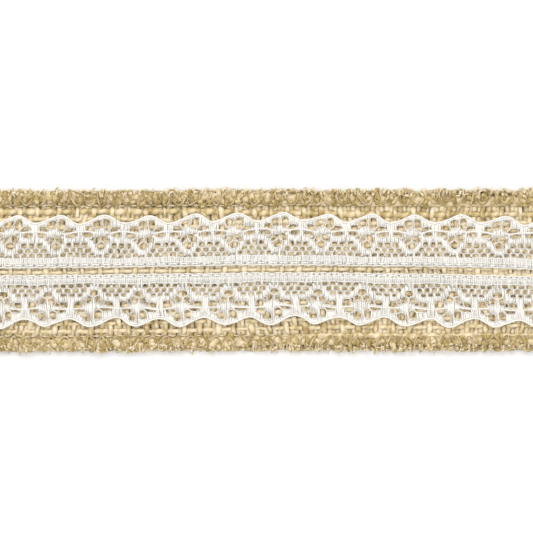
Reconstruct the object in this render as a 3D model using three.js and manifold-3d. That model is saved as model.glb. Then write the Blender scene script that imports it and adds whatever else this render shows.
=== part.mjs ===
// A narrow burlap table runner, laid out flat, in millimetres.
// X runs along the runner, Y across it (+Y is the far long edge), +Z is up.
// The origin is the centre of the underside, so Z = 0 is the table top.
//
// The runner is a jute cloth with its four edges overlocked. Two strips of scalloped lace lie
// on it with their straight headings facing each other across the middle, and one row of
// lockstitch through each heading holds the lace down.

import * as THREE from 'three';
import { mergeVertices } from 'three/addons/utils/BufferGeometryUtils.js';
import Module from 'manifold-3d';

const wasm = await Module();
wasm.setup();

// ---- Driving dimensions ----

const LENGTH = 1000;          // over the overlocked ends
const WIDTH = 50;             // over the overlocked long edges
const GAP = 0.3;              // air kept between pieces that touch

const CLOTH_THICK = 1.8;      // two flattened yarns, one over the other
const CLOTH_RIM_LIFT = 0.9;   // the rim's underside, raised by the thread wrapped beneath it

const EDGE_BAND = 4.8;        // width of the overlocked band
const EDGE_THREAD = 0.6;      // depth of looper thread under the cloth
const EDGE_THREAD_TOP = 0.9;  // depth of looper thread on top, which piles up higher
const EDGE_WRAP = 0.4;        // looper thread wrapped round the cut edge

const LACE_THICK = 0.5;
const LACE_REPEAT = 13.8;     // one scallop
const LACE_PEAK = 16.1;       // heading's free edge to a scallop's tip
const LACE_VALLEY = 13.6;     // heading's free edge to the notch between two scallops
const LACE_PARTING = 2.2;     // bare cloth between the two headings
const SCALLOP_STEPS = 6;      // outline points on each scallop

const STITCH_INSET = 0.8;     // heading's free edge to its row of stitches
const SEWING_THREAD = 0.4;    // thickness of the sewing thread
const BOBBIN_GROOVE_WIDE = 1.2;
const BOBBIN_GROOVE_DEEP = 0.8;

// ---- Derived dimensions ----

const halfLength = LENGTH / 2;
const halfWidth = WIDTH / 2;
const clothHalfLength = halfLength - EDGE_WRAP - GAP;
const clothHalfWidth = halfWidth - EDGE_WRAP - GAP;
const bodyHalfLength = halfLength - EDGE_BAND - GAP;
const bodyHalfWidth = halfWidth - EDGE_BAND - GAP;
const headingEdge = LACE_PARTING / 2;
const stitchLine = headingEdge + STITCH_INSET;
const laceBottom = CLOTH_THICK + GAP;
const laceHalfLength = bodyHalfLength - SEWING_THREAD - 2 * GAP;
const edgeTop = CLOTH_THICK + GAP + EDGE_THREAD_TOP;

// ---- Materials ----

const cloth = { color: 0xd6c198, roughness: 0.95, metalness: 0 };
const lace = { color: 0xf6f3ec, roughness: 0.75, metalness: 0 };
const looperThread = { color: 0xc4ab78, roughness: 0.9, metalness: 0 };
const sewingThread = { color: 0xfaf8f3, roughness: 0.6, metalness: 0 };

const runner = new THREE.Group();

function addPiece(name, geometry, finish) {
  const piece = new THREE.Mesh(geometry, new THREE.MeshStandardMaterial(finish));
  piece.name = name;
  runner.add(piece);
  return piece;
}

// ---- Shapes ----

// A box between two corners.
function block(x0, x1, y0, y1, z0, z1) {
  const geometry = new THREE.BoxGeometry(x1 - x0, y1 - y0, z1 - z0);
  geometry.translate((x0 + x1) / 2, (y0 + y1) / 2, (z0 + z1) / 2);
  return geometry;
}

function toSolid(geometry) {
  const bare = geometry.clone();
  bare.deleteAttribute('normal');
  bare.deleteAttribute('uv');
  const merged = mergeVertices(bare);
  return new wasm.Manifold(new wasm.Mesh({
    numProp: 3,
    vertProperties: new Float32Array(merged.attributes.position.array),
    triVerts: new Uint32Array(merged.index.array),
  }));
}

function toGeometry(solid) {
  const mesh = solid.getMesh();
  const geometry = new THREE.BufferGeometry();
  geometry.setAttribute('position', new THREE.BufferAttribute(mesh.vertProperties, 3));
  geometry.setIndex(new THREE.BufferAttribute(mesh.triVerts, 1));
  geometry.computeVertexNormals();
  return geometry;
}

// The cloth: full thickness inside the overlocked bands, pressed thin within them, with a
// shallow channel along the underside of each lace seam for the bobbin thread to lie in.
function clothGeometry() {
  const middle = block(-bodyHalfLength, bodyHalfLength, -bodyHalfWidth, bodyHalfWidth,
    0, CLOTH_THICK);
  const rim = block(-clothHalfLength, clothHalfLength, -clothHalfWidth, clothHalfWidth,
    CLOTH_RIM_LIFT, CLOTH_THICK);
  let solid = toSolid(middle).add(toSolid(rim));
  for (const side of [-1, 1]) {
    const centre = side * stitchLine;
    const channel = block(-halfLength, halfLength, centre - BOBBIN_GROOVE_WIDE / 2,
      centre + BOBBIN_GROOVE_WIDE / 2, -GAP, BOBBIN_GROOVE_DEEP);
    solid = solid.subtract(toSolid(channel));
  }
  return toGeometry(solid);
}

// How far the scalloped edge stands from the heading's free edge, at x along the strip:
// a raised cosine, so that the tips are broad and the notches between them are shallow.
function scallop(x, phase) {
  const wave = (1 + Math.cos((2 * Math.PI * (x - phase)) / LACE_REPEAT)) / 2;
  return LACE_VALLEY + (LACE_PEAK - LACE_VALLEY) * wave;
}

// One lace strip as a thin plate: straight along its heading, scalloped along its outer edge.
function laceGeometry(side, phase) {
  const outline = new THREE.Shape();
  outline.moveTo(-laceHalfLength, side * headingEdge);
  const steps = Math.round((2 * laceHalfLength * SCALLOP_STEPS) / LACE_REPEAT);
  for (let i = 0; i <= steps; i += 1) {
    const x = -laceHalfLength + (2 * laceHalfLength * i) / steps;
    outline.lineTo(x, side * (headingEdge + scallop(x, phase)));
  }
  outline.lineTo(laceHalfLength, side * headingEdge);
  const geometry = new THREE.ExtrudeGeometry(outline, { depth: LACE_THICK, bevelEnabled: false });
  geometry.translate(0, 0, laceBottom);
  return geometry;
}

// The looper thread of one overlocked edge, as the casing that its loops fill: a flat layer
// over or under the cloth, turned round the cut edge to meet the other looper's thread.
// The profile is drawn across the edge (u outwards, v up) and carried along it.
function looperGeometry(outer, along, top) {
  const inner = outer - EDGE_BAND;
  const wrapFrom = outer - EDGE_WRAP;
  const meeting = (CLOTH_RIM_LIFT + CLOTH_THICK) / 2;
  const profile = new THREE.Shape();
  if (top) {
    profile.moveTo(inner, CLOTH_THICK + GAP);
    profile.lineTo(wrapFrom, CLOTH_THICK + GAP);
    profile.lineTo(wrapFrom, meeting + GAP / 2);
    profile.lineTo(outer, meeting + GAP / 2);
    profile.lineTo(outer, edgeTop - EDGE_WRAP);
    profile.lineTo(outer - EDGE_WRAP, edgeTop);
    profile.lineTo(inner, edgeTop);
  } else {
    profile.moveTo(inner, 0);
    profile.lineTo(outer - EDGE_WRAP, 0);
    profile.lineTo(outer, EDGE_WRAP);
    profile.lineTo(outer, meeting - GAP / 2);
    profile.lineTo(wrapFrom, meeting - GAP / 2);
    profile.lineTo(wrapFrom, EDGE_THREAD);
    profile.lineTo(inner, EDGE_THREAD);
  }
  const geometry = new THREE.ExtrudeGeometry(profile, { depth: along, bevelEnabled: false });
  geometry.translate(0, 0, -along / 2);
  // Stand the profile up: u stays horizontal, v becomes Z, and the carried length lies flat.
  geometry.rotateX(Math.PI / 2);
  return geometry;
}

// ---- The cloth ----

addPiece('burlap_cloth', clothGeometry(), cloth);

// ---- The lace strips and the seams that hold them ----

// The far strip's scallops and the near strip's are not in step with each other.
const laceStrips = [
  { name: 'far_lace', side: 1, phase: 4.2 },
  { name: 'near_lace', side: -1, phase: 1.8 },
];

for (const strip of laceStrips) {
  addPiece(strip.name, laceGeometry(strip.side, strip.phase), lace);

  const y = strip.side * stitchLine;
  const seamTop = laceBottom + LACE_THICK + GAP;
  const needleThread = block(-laceHalfLength, laceHalfLength, y - SEWING_THREAD / 2,
    y + SEWING_THREAD / 2, seamTop, seamTop + SEWING_THREAD);
  addPiece(`${strip.name}_needle_thread`, needleThread, sewingThread);

  const bobbinTop = BOBBIN_GROOVE_DEEP - GAP;
  const bobbinThread = block(-laceHalfLength, laceHalfLength, y - SEWING_THREAD / 2,
    y + SEWING_THREAD / 2, bobbinTop - SEWING_THREAD, bobbinTop);
  addPiece(`${strip.name}_bobbin_thread`, bobbinThread, sewingThread);
}

// ---- The overlocked edges: three threads each ----

// The ends are overlocked last, across the whole width, so the long edges stop short of them.
const edges = [
  { name: 'far_edge', turn: Math.PI / 2, outer: halfWidth, along: 2 * bodyHalfLength },
  { name: 'near_edge', turn: -Math.PI / 2, outer: halfWidth, along: 2 * bodyHalfLength },
  { name: 'right_end', turn: 0, outer: halfLength, along: WIDTH },
  { name: 'left_end', turn: Math.PI, outer: halfLength, along: WIDTH },
];

for (const edge of edges) {
  const upper = addPiece(`${edge.name}_upper_looper_thread`,
    looperGeometry(edge.outer, edge.along, true), looperThread);
  upper.rotation.z = edge.turn;

  const lower = addPiece(`${edge.name}_lower_looper_thread`,
    looperGeometry(edge.outer, edge.along, false), looperThread);
  lower.rotation.z = edge.turn;

  // The needle's row of straight stitches, just inside the looper thread.
  const u = edge.outer - EDGE_BAND - GAP;
  const isEnd = edge.outer === halfLength;
  const reach = isEnd ? bodyHalfWidth : bodyHalfLength - SEWING_THREAD - 2 * GAP;
  const needle = addPiece(`${edge.name}_needle_thread`,
    block(u - SEWING_THREAD, u, -reach, reach, CLOTH_THICK + GAP, edgeTop), looperThread);
  needle.rotation.z = edge.turn;
}

export default runner;
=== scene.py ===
"""A narrow burlap table runner with overlocked edges and two strips of scalloped lace.

Everything here is thread. The cloth is woven from single yarns, the lace is laid from single threads,
and each overlocked edge has its needle thread and its two looper threads. A thread is a closed tube:
an elliptical profile carried along a path.

X runs along the runner, Y across it (+Y is the far edge) and Z is up from the table, in metres.
"""

import math

import bpy
import numpy as np
from bpy.props import FloatProperty, FloatVectorProperty, IntProperty, PointerProperty
from bpy.types import Operator, Panel, PropertyGroup
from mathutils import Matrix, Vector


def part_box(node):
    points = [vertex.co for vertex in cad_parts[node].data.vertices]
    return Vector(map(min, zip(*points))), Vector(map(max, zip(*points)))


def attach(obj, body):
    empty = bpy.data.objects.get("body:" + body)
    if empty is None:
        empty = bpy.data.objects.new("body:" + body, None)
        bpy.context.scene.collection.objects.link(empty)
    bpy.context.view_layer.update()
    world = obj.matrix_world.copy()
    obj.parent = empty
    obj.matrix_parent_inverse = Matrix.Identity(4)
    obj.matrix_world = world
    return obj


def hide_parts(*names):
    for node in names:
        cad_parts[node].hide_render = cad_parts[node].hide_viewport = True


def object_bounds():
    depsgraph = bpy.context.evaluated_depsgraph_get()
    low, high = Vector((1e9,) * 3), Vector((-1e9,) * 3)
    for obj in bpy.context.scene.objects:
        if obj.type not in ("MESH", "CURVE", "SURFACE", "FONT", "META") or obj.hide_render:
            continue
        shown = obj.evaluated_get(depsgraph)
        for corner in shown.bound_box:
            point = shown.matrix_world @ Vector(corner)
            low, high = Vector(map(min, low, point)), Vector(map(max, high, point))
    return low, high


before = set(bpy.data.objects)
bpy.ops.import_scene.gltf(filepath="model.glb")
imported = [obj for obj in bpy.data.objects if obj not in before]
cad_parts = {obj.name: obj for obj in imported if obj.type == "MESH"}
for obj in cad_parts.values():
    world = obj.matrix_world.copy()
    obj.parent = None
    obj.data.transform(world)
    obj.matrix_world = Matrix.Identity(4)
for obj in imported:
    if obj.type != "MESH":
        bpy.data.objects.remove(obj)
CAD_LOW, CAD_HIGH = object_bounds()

bl_info = {
    "name": "Burlap and lace table runner",
    "version": (1, 0, 0),
    "blender": (4, 5, 0),
    "location": "View3D > Sidebar > Table runner",
    "description": "Weaves, laces, sews and overlocks a narrow burlap table runner",
    "category": "Add Mesh",
}

MM = 0.001

# ---- Places read from the frame ----

HALF_LENGTH = CAD_HIGH.x
HALF_WIDTH = CAD_HIGH.y
CLOTH_LOW, CLOTH_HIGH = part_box("burlap_cloth")
FAR_BAND_LOW, FAR_BAND_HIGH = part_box("far_edge_upper_looper_thread")
FAR_LACE_LOW, FAR_LACE_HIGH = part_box("far_lace")
FAR_SEAM_LOW, FAR_SEAM_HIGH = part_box("far_lace_needle_thread")

BAND = FAR_BAND_HIGH.y - FAR_BAND_LOW.y
CLOTH_THICK = CLOTH_HIGH.z - CLOTH_LOW.z
BAND_TOP = FAR_BAND_HIGH.z
LACE_BOTTOM = FAR_LACE_LOW.z
HEADING_EDGE = FAR_LACE_LOW.y
LACE_HEIGHT = FAR_LACE_HIGH.y - FAR_LACE_LOW.y
LACE_HALF_LENGTH = FAR_LACE_HIGH.x
SEAM_LINE = (FAR_SEAM_LOW.y + FAR_SEAM_HIGH.y) / 2


# ---- Smooth noise and the lie of the cloth ----

NOISE_TABLE = np.random.default_rng(11).uniform(-1.0, 1.0, 4096)


def wander(x, lane=0.0):
    """Smooth noise from -1 to 1 along x, whose features are about one unit long.

    Random heights at the whole numbers are joined by the smooth step 3f^2 - 2f^3. Each lane starts
    elsewhere in the table of heights, so each thread can have a noise of its own.
    """
    x = np.asarray(x, float) + 131.7 * np.asarray(lane, float)
    cell = np.floor(x).astype(np.int64)
    f = x - cell
    f = f * f * (3 - 2 * f)
    return NOISE_TABLE[cell % 4096] * (1 - f) + NOISE_TABLE[(cell + 1) % 4096] * f


def lie(points):
    """Moves points from the straight, flat runner to the runner as it lies.

    y gains a slow sideways waver along x, and z a slow lift that is never negative, so the underside
    stays on the table.
    """
    x = points[..., 0]
    waver = 0.12 * MM * np.sin(x / (41 * MM)) + 0.08 * MM * np.sin(x / (17 * MM) + 1.9)
    lift = 0.12 * MM * (1 + np.sin(x / (29 * MM) + points[..., 1] / (13 * MM)))
    return points + np.stack([np.zeros_like(x), waver, lift], axis=-1)


# ---- Threads ----

PLY_LAY = 2.9  # length of one turn of two plies, millimetres
TABLE_GAP = 0.02 * MM  # lowest height of any thread above the table


def strands(points, wide, deep, sides=6, across=None, closed=False, tint=None, painted_top_highlight=0.0, painted_ply_shade=0.0):
    """Tubes carried along many paths at once.

    points is (strands, steps, 3). Round each path point stands the ellipse
        centre + wide * cos(a) * side + deep * sin(a) * lift
    where side is level and square to the path, lift is square to both, and wide and deep are
    half-widths. A closed path's tube meets its own start, and an open one's ends are capped. The tint
    of a point is its path's tint + h * sin(a) + p * cos(a + 2 pi along / PLY_LAY). Here h is a painted
    highlight, which makes the tube paler on top than below as though lit from above, and p is the
    painted light and shade of the twist of two plies.
    """
    points = np.asarray(points, float)
    count, steps, _ = points.shape
    wide = np.broadcast_to(wide, (count, steps))
    deep = np.broadcast_to(deep, (count, steps))
    if closed:
        ahead = np.roll(points, -1, axis=1) - np.roll(points, 1, axis=1)
    else:
        ahead = np.gradient(points, axis=1)
    ahead = ahead / np.maximum(np.linalg.norm(ahead, axis=-1, keepdims=True), 1e-12)
    if across is None:
        side = np.stack([-ahead[..., 1], ahead[..., 0], np.zeros((count, steps))], axis=-1)
    else:
        side = np.broadcast_to(across, ahead.shape)
        side = side - (side * ahead).sum(-1, keepdims=True) * ahead
    side = side / np.maximum(np.linalg.norm(side, axis=-1, keepdims=True), 1e-12)
    lift = np.cross(ahead, side)

    angle = 2 * np.pi * np.arange(sides) / sides
    ring = (
        points[:, :, None]
        + (wide[..., None] * np.cos(angle))[..., None] * side[:, :, None]
        + (deep[..., None] * np.sin(angle))[..., None] * lift[:, :, None]
    )

    spans = steps if closed else steps - 1
    start = np.arange(count)[:, None, None] * steps * sides
    step = np.arange(spans)[None, :, None]
    edge = np.arange(sides)[None, None, :]
    here, there = step * sides, ((step + 1) % steps) * sides
    turn = (edge + 1) % sides
    quads = np.stack(
        np.broadcast_arrays(
            start + here + edge, start + there + edge, start + there + turn, start + here + turn
        ),
        axis=-1,
    ).reshape(-1, 4)[:, ::-1]

    stride = np.linalg.norm(np.diff(points, axis=1, append=points[:, :1]), axis=-1)
    along = np.concatenate([np.zeros((count, 1)), np.cumsum(stride, axis=1)], axis=1) / MM
    u0, u1 = along[:, :spans, None], along[:, 1 : spans + 1, None]
    v0, v1 = edge / sides, (edge + 1) / sides
    corners = [(u0, v0), (u1, v0), (u1, v1), (u0, v1)]
    shape = (count, spans, sides)
    uv = np.stack(
        [np.stack([np.broadcast_to(u, shape), np.broadcast_to(v, shape)], -1) for u, v in corners],
        axis=-2,
    ).reshape(-1, 4, 2)[:, ::-1]

    caps = np.zeros((0, sides), int)
    if not closed:
        first = (np.arange(count) * steps * sides)[:, None] + np.arange(sides)
        last = first + (steps - 1) * sides
        caps = np.concatenate([first[:, ::-1], last])
    if tint is None:
        tint = 0.5 + 0.5 * wander(np.arange(count) * 1.37, 3)
    shade = np.broadcast_to(np.asarray(tint, float).reshape(count, -1), (count, steps))
    winding = angle + 2 * np.pi * along[:, :steps, None] / PLY_LAY
    shade = np.clip(shade[..., None] + painted_top_highlight * np.sin(angle) + painted_ply_shade * np.cos(winding), 0.0, 1.0)
    return {
        "verts": ring.reshape(-1, 3),
        "quads": quads,
        "uv": uv,
        "caps": caps,
        "tint": shade.reshape(-1),
    }


def make_piece(name, bundles, material, stands_for):
    """Joins bundles of threads into one mesh object that rides on the runner.

    The points go through lie(), so every piece follows the same waver and lift, and those that would
    sink into the table are pressed flat against it. The mesh carries a UV map, millimetres along the
    thread against turns round it, and a tint from 0 to 1 for each point.
    """
    offsets = np.cumsum([0] + [len(b["verts"]) for b in bundles])
    verts = lie(np.concatenate([b["verts"] for b in bundles]))
    verts[:, 2] = np.maximum(verts[:, 2], TABLE_GAP)
    tint = np.concatenate([b["tint"] for b in bundles])
    quads = np.concatenate([b["quads"] + o for b, o in zip(bundles, offsets)])
    uv_quads = np.concatenate([b["uv"] for b in bundles]).reshape(-1, 2)
    caps = [b["caps"] + o for b, o in zip(bundles, offsets) if len(b["caps"])]

    totals = np.concatenate([np.full(len(quads), 4)] + [np.full(len(c), c.shape[1]) for c in caps])
    corners = np.concatenate([quads.reshape(-1)] + [c.reshape(-1) for c in caps])
    uv = np.zeros((len(corners), 2))
    uv[: len(uv_quads)] = uv_quads

    mesh = bpy.data.meshes.new(name)
    mesh.vertices.add(len(verts))
    mesh.vertices.foreach_set("co", verts.astype(np.float32).reshape(-1))
    mesh.loops.add(len(corners))
    mesh.loops.foreach_set("vertex_index", corners.astype(np.int32))
    mesh.polygons.add(len(totals))
    starts = np.concatenate([[0], np.cumsum(totals)[:-1]])
    mesh.polygons.foreach_set("loop_start", starts.astype(np.int32))
    mesh.polygons.foreach_set("loop_total", totals.astype(np.int32))
    mesh.update(calc_edges=True)
    mesh.polygons.foreach_set("use_smooth", totals == 4)
    mesh.uv_layers.new(name="thread").uv.foreach_set("vector", uv.astype(np.float32).reshape(-1))
    mesh.attributes.new("tint", "FLOAT", "POINT").data.foreach_set("value", tint.astype(np.float32))
    if mesh.validate():
        raise RuntimeError(f"{name} has a broken face")
    mesh.materials.append(material)

    piece = bpy.data.objects.new(name, mesh)
    bpy.context.scene.collection.objects.link(piece)
    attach(piece, "root")
    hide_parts(*stands_for)
    return piece


def lanes_of(count):
    """The numbers 0, 1, 2 ... of count threads as a column, to pick each thread's own noise."""
    return np.arange(count)[:, None]


# ---- Burlap ----

HOOK_STEPS = 18  # path points of a yarn inside an overlocked band
HOOK_GIRTH = 0.66 * MM  # mean half-width of a yarn there
# Painted light: the cloth's threads under and between the lace strips are made paler, against the shade
# the lace casts on them.
PAINTED_LIGHT_UNDER_LACE = 0.34  # how much paler the cloth's threads are made under and between the lace strips
LACE_REACH = HEADING_EDGE + LACE_HEIGHT - 1.5 * MM  # how far from the middle they are


def weave_height(crossing, parity, lift):
    """How far a yarn stands above the cloth's middle: lift * cos(pi * crossing), turned over for every
    other yarn, so that it is over at one crossing and under at the next."""
    return lift * np.where(parity % 2 == 0, 1, -1) * np.cos(np.pi * crossing)


def yarn_girth(along, lanes, girth, unevenness):
    """Half-width along a hand-spun yarn: girth swollen and starved by smooth noises 25, 6 and 2
    millimetres long."""
    slow = wander(along / (25 * MM), 40 + 3 * lanes)
    quick = wander(along / (6 * MM), 900 + 3 * lanes)
    lumps = wander(along / (2 * MM), 1700 + 3 * lanes)
    return girth * (1 + unevenness * (0.5 * slow + 0.5 * quick + 0.6 * lumps))


def edge_hook(count, seed, rise):
    """The last stretch of each yarn inside the overlocked band, as (outward, up, sideways) of its path
    and its half-width.

    It runs out under the cloth's edge, turns up and back on a half ellipse, and lies crumpled on top,
    where the looper threads hold it down. Each yarn has its own ellipse, fold, lean and crumples: its
    girth swells and narrows every two millimetres and its path wriggles sideways and up with them.
    """
    rng = np.random.default_rng(seed)
    step = np.linspace(0.0, 1.0, HOOK_STEPS + 1)[None, 1:]
    bed = rng.uniform(2.2, 3.1, (count, 1)) * MM
    radius_out = BAND - 0.6 * MM - bed + rng.uniform(-1.0, 0.85, (count, 1)) * MM
    radius_up = rng.uniform(0.45, 0.72, (count, 1)) * MM
    fold = rng.uniform(1.6, 3.4, (count, 1)) * MM
    lean = rng.uniform(-1.8, 1.8, (count, 1)) * MM
    turn = np.pi * np.clip((step - 0.25) / 0.3, 0, 1)
    back = np.clip((step - 0.55) / 0.45, 0, 1)
    outward = bed * np.clip(step / 0.25, 0, 1) + radius_out * np.sin(turn) - fold * back
    lumps = wander(step * 10.0, lanes_of(count) * 3 + seed)
    loose = np.clip((step - 0.3) / 0.3, 0, 1)
    up = rise + 0.72 * MM - radius_up * np.cos(turn) - 0.35 * MM * back + 0.2 * MM * lumps * loose
    wriggle = wander(step * 6.5, lanes_of(count) * 5 + seed + 50)
    sideways = lean * step**2 + 0.85 * MM * wriggle * loose
    girth = HOOK_GIRTH * (1 + 0.45 * lumps * loose) * rng.uniform(0.8, 1.2, (count, 1))
    girth[:, -1] *= 0.5
    return outward, up, sideways, girth


def yarn_paths(count, pitch, reach, cross_pitch, cross_count, reach_of_line, settings, seed):
    """Paths, half-widths and tints of one set of parallel yarns, the paths in (along, sideways, up).

    Between the two overlocked bands a yarn runs straight but for a slow wander and its rise and fall
    over the crossing yarns. Beyond them it follows edge_hook. A yarn that would lie under a needle
    line, reach_of_line from the middle, is drawn outwards beside it.
    """
    rng = np.random.default_rng(seed)
    lanes = lanes_of(count)
    rows = 4 * int(round(2 * reach / cross_pitch))
    along = np.linspace(-reach, reach, rows + 1)[None]
    place = (lanes - (count - 1) / 2) * pitch
    stray = settings.wander * (
        0.6 * wander(along / (38 * MM), 7 * lanes + seed)
        + 0.5 * wander(along / (11 * MM), 5 * lanes + seed)
    )
    slant = settings.wander * 1.6 * wander(lanes / 9.0, seed) * along / (20 * MM)
    slant = np.clip(slant, -0.6 * MM, 0.6 * MM) + settings.wander * 0.9 * wander(lanes * 0.9, seed + 1)
    in_band = np.abs(place) > reach_of_line - 0.5 * MM
    outermost = np.abs(place) > reach_of_line + 1 * MM
    place = place + np.sign(place) * MM * np.where(in_band, np.where(outermost, -0.35, 0.75), 0.0)
    crossing = along / cross_pitch + (cross_count - 1) / 2
    crimp = settings.crimp * np.where(in_band, 0.5, 1.0)
    middle = CLOTH_THICK / 2 + weave_height(crossing, lanes, crimp)
    pinch = np.clip((np.abs(along) - reach + 1.5 * MM) / (1.5 * MM), 0, 1) ** 2
    held_down = CLOTH_THICK / 2 - 0.3 * MM
    middle = middle * (1 - pinch) + held_down * pinch
    girth = yarn_girth(along, lanes + seed, settings.yarn_width / 2, settings.unevenness)
    girth = girth * rng.uniform(0.8, 1.2, (count, 1)) * (1 - 0.3 * pinch)
    girth = girth * (1 + rng.normal(0, 0.05, girth.shape)) * np.where(in_band, 1.4, 1.0)
    stray = stray + rng.normal(0, 0.05 * MM, girth.shape)
    body = np.stack([along + 0 * place, place + stray + slant, middle], axis=-1)
    own = rng.uniform(0.08, 0.66, (count, 1))
    # Painted shade: each yarn darkens towards its ends, where it is pinched down into the crevice of the
    # needle line.
    tint = own + 0.35 * wander(along / (2 * MM), 11 * lanes + seed) - 0.8 * pinch

    points, wide, shade = [body], [girth], [tint]
    for sign in (-1, 1):
        outward, up, sideways, hook_wide = edge_hook(count, seed + 10 + sign, held_down)
        last = body[:, 0 if sign < 0 else -1]
        hook = np.stack([last[:, :1] + sign * outward, last[:, 1:2] + sideways, up], axis=-1)
        # Painted shade and highlight on the hook, over the yarn's own tone: darker along the needle line
        # and where it narrows, paler where it swells into a lump.
        painted_line_shade = np.clip(1 - outward / (1.1 * MM), 0, 1)
        hook_tone_and_painted_shade = own + 0.02 + 0.45 * (hook_wide / HOOK_GIRTH - 1) - 0.6 * painted_line_shade
        if sign < 0:
            points.insert(0, hook[:, ::-1])
            wide.insert(0, hook_wide[:, ::-1])
            shade.insert(0, hook_tone_and_painted_shade[:, ::-1])
        else:
            points.append(hook)
            wide.append(hook_wide)
            shade.append(hook_tone_and_painted_shade)
    return np.concatenate(points, axis=1), np.concatenate(wide, axis=1), np.concatenate(shade, axis=1)


def sway(points):
    """Moves points of the cloth along X by two slanting waves, so the wefts lean to and fro together.
    The movement dies away towards the runner's ends."""
    x, y = points[..., 0], points[..., 1]
    wave = 0.6 * MM * np.sin(x / (23 * MM) + y / (5.5 * MM))
    wave = wave + 0.4 * MM * np.sin(x / (8.3 * MM) - y / (3.9 * MM) + 1.0)
    fade = np.clip((HALF_LENGTH - 2 * MM - np.abs(x)) / (30 * MM), 0, 1)
    return points + np.stack([wave * fade, 0 * x, 0 * x], axis=-1)


def turned(points, along_y):
    """(along, sideways, up) as (x, y, z) for yarns along X, or along Y."""
    a, b, c = points[..., 0], points[..., 1], points[..., 2]
    return np.stack([b, a, c], axis=-1) if along_y else np.stack([a, b, c], axis=-1)


def weave_burlap(settings):
    """The cloth: warp yarns along X and weft yarns along Y, over and under each other."""
    inner_x, inner_y = HALF_LENGTH - BAND, HALF_WIDTH - BAND
    warp_pitch = 2 * CLOTH_HIGH.y / settings.warp_count
    weft_count = int(round(2 * CLOTH_HIGH.x / settings.weft_pitch))
    weft_pitch = 2 * CLOTH_HIGH.x / weft_count
    flatness = settings.yarn_depth / settings.yarn_width

    warp, warp_wide, warp_tint = yarn_paths(
        settings.warp_count, warp_pitch, inner_x, weft_pitch, weft_count, inner_y, settings, 100
    )
    weft, weft_wide, weft_tint = yarn_paths(
        weft_count, weft_pitch, inner_y, warp_pitch, settings.warp_count + 2, inner_x, settings, 200
    )
    made = []
    sets = (
        ("burlap_warp", warp, warp_wide, warp_tint, ("near", "far")),
        ("burlap_weft", weft, weft_wide, weft_tint, ("left", "right")),
    )
    for name, points, wide, tint, parts in sets:
        along_y = name == "burlap_weft"
        across = (-1.0, 0.0, 0.0) if along_y else (0.0, 1.0, 0.0)
        half = len(points) // 2
        for part, chosen in zip(parts, (slice(0, half), slice(half, None))):
            path, broad = sway(turned(points[chosen], along_y)), wide[chosen]
            # Painted light under the lace. The tube also gets a painted highlight on its top and the
            # painted light and shade of its plies.
            shade = tint[chosen] + PAINTED_LIGHT_UNDER_LACE * (np.abs(path[..., 1]) < LACE_REACH)
            tube = strands(path, broad, broad * flatness, 5, across, tint=shade, painted_top_highlight=0.38, painted_ply_shade=0.28)
            piece = make_piece(f"{name}_{part}", [tube], jute("burlap_jute"), ["burlap_cloth"])
            made.append(piece)
    return made


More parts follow.
